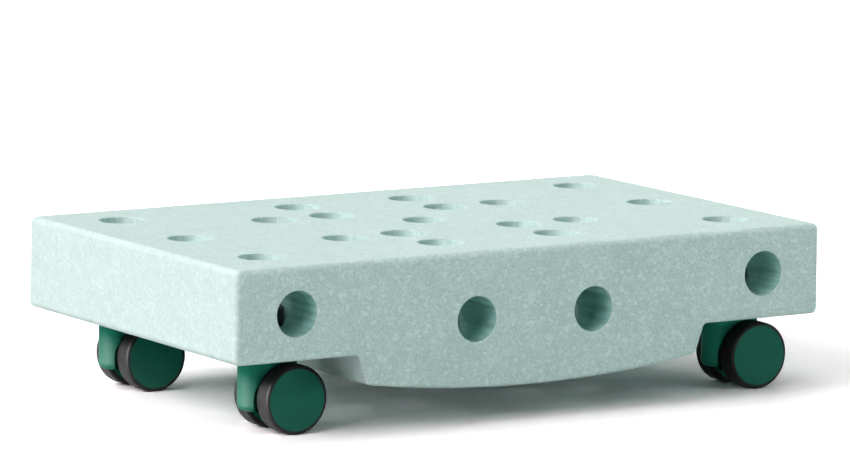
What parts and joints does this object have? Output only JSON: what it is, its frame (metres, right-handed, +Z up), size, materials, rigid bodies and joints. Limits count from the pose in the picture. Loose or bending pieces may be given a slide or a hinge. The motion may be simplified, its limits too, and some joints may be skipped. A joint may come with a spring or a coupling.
{
  "type": "rolling foam board",
  "caption": "Bead-foam play board with a rocker belly and round peg holes in its top and sides, rolling on swivel castors with paired wheels.",
  "frame": {"origin": "on the floor under the middle of the deck", "axes": "+X along the deck's length, the way the castors trail; +Y across it; +Z up"},
  "size_m": [0.5, 0.3, 0.1255],
  "materials": {
    "foam": "matte moulded beads",
    "green_plastic": "satin",
    "black_plastic": "satin",
    "tyre_rubber": "satin",
    "steel": "plain"
  },
  "bodies": {
    "board": {"deck": "foam", "front_left_plug": "black_plastic", "front_left_stem": "steel", "front_left_grip_ring": "steel", "front_left_washer": "steel", "front_left_snap_ring": "steel", "front_right_plug": "black_plastic", "front_right_stem": "steel", "front_right_grip_ring": "steel", "front_right_washer": "steel", "front_right_snap_ring": "steel", "back_left_plug": "black_plastic", "back_left_stem": "steel", "back_left_grip_ring": "steel", "back_left_washer": "steel", "back_left_snap_ring": "steel", "back_right_plug": "black_plastic", "back_right_stem": "steel", "back_right_grip_ring": "steel", "back_right_washer": "steel", "back_right_snap_ring": "steel"},
    "front_left_castor": {"front_left_fork": "green_plastic", "front_left_axle": "steel", "front_left_axle_clips": "steel"},
    "front_left_near_roller": {"front_left_near_wheel": "green_plastic", "front_left_near_tyre": "tyre_rubber", "front_left_near_cap": "green_plastic"},
    "front_left_far_roller": {"front_left_far_wheel": "green_plastic", "front_left_far_tyre": "tyre_rubber", "front_left_far_cap": "green_plastic"},
    "front_right_castor": {"front_right_fork": "green_plastic", "front_right_axle": "steel", "front_right_axle_clips": "steel"},
    "front_right_near_roller": {"front_right_near_wheel": "green_plastic", "front_right_near_tyre": "tyre_rubber", "front_right_near_cap": "green_plastic"},
    "front_right_far_roller": {"front_right_far_wheel": "green_plastic", "front_right_far_tyre": "tyre_rubber", "front_right_far_cap": "green_plastic"},
    "back_left_castor": {"back_left_fork": "green_plastic", "back_left_axle": "steel", "back_left_axle_clips": "steel"},
    "back_left_near_roller": {"back_left_near_wheel": "green_plastic", "back_left_near_tyre": "tyre_rubber", "back_left_near_cap": "green_plastic"},
    "back_left_far_roller": {"back_left_far_wheel": "green_plastic", "back_left_far_tyre": "tyre_rubber", "back_left_far_cap": "green_plastic"},
    "back_right_castor": {"back_right_fork": "green_plastic", "back_right_axle": "steel", "back_right_axle_clips": "steel"},
    "back_right_near_roller": {"back_right_near_wheel": "green_plastic", "back_right_near_tyre": "tyre_rubber", "back_right_near_cap": "green_plastic"},
    "back_right_far_roller": {"back_right_far_wheel": "green_plastic", "back_right_far_tyre": "tyre_rubber", "back_right_far_cap": "green_plastic"}
  },
  "joints": [
    {"name": "front_left_swivel", "type": "hinge", "parent": "board", "child": "front_left_castor", "pos_m": [-0.2, -0.1, 0.058], "axis": [0, 0, 1], "continuous": true},
    {"name": "front_left_near_spin", "type": "hinge", "parent": "front_left_castor", "child": "front_left_near_roller", "pos_m": [-0.1835, -0.1, 0.025], "axis": [0, 1, 0], "continuous": true},
    {"name": "front_left_far_spin", "type": "hinge", "parent": "front_left_castor", "child": "front_left_far_roller", "pos_m": [-0.1835, -0.1, 0.025], "axis": [0, 1, 0], "continuous": true},
    {"name": "front_right_swivel", "type": "hinge", "parent": "board", "child": "front_right_castor", "pos_m": [0.2, -0.1, 0.058], "axis": [0, 0, 1], "continuous": true},
    {"name": "front_right_near_spin", "type": "hinge", "parent": "front_right_castor", "child": "front_right_near_roller", "pos_m": [0.2165, -0.1, 0.025], "axis": [0, 1, 0], "continuous": true},
    {"name": "front_right_far_spin", "type": "hinge", "parent": "front_right_castor", "child": "front_right_far_roller", "pos_m": [0.2165, -0.1, 0.025], "axis": [0, 1, 0], "continuous": true},
    {"name": "back_left_swivel", "type": "hinge", "parent": "board", "child": "back_left_castor", "pos_m": [-0.2, 0.1, 0.058], "axis": [0, 0, 1], "continuous": true},
    {"name": "back_left_near_spin", "type": "hinge", "parent": "back_left_castor", "child": "back_left_near_roller", "pos_m": [-0.1835, 0.1, 0.025], "axis": [0, 1, 0], "continuous": true},
    {"name": "back_left_far_spin", "type": "hinge", "parent": "back_left_castor", "child": "back_left_far_roller", "pos_m": [-0.1835, 0.1, 0.025], "axis": [0, 1, 0], "continuous": true},
    {"name": "back_right_swivel", "type": "hinge", "parent": "board", "child": "back_right_castor", "pos_m": [0.2, 0.1, 0.058], "axis": [0, 0, 1], "continuous": true},
    {"name": "back_right_near_spin", "type": "hinge", "parent": "back_right_castor", "child": "back_right_near_roller", "pos_m": [0.2165, 0.1, 0.025], "axis": [0, 1, 0], "continuous": true},
    {"name": "back_right_far_spin", "type": "hinge", "parent": "back_right_castor", "child": "back_right_far_roller", "pos_m": [0.2165, 0.1, 0.025], "axis": [0, 1, 0], "continuous": true}
  ]
}
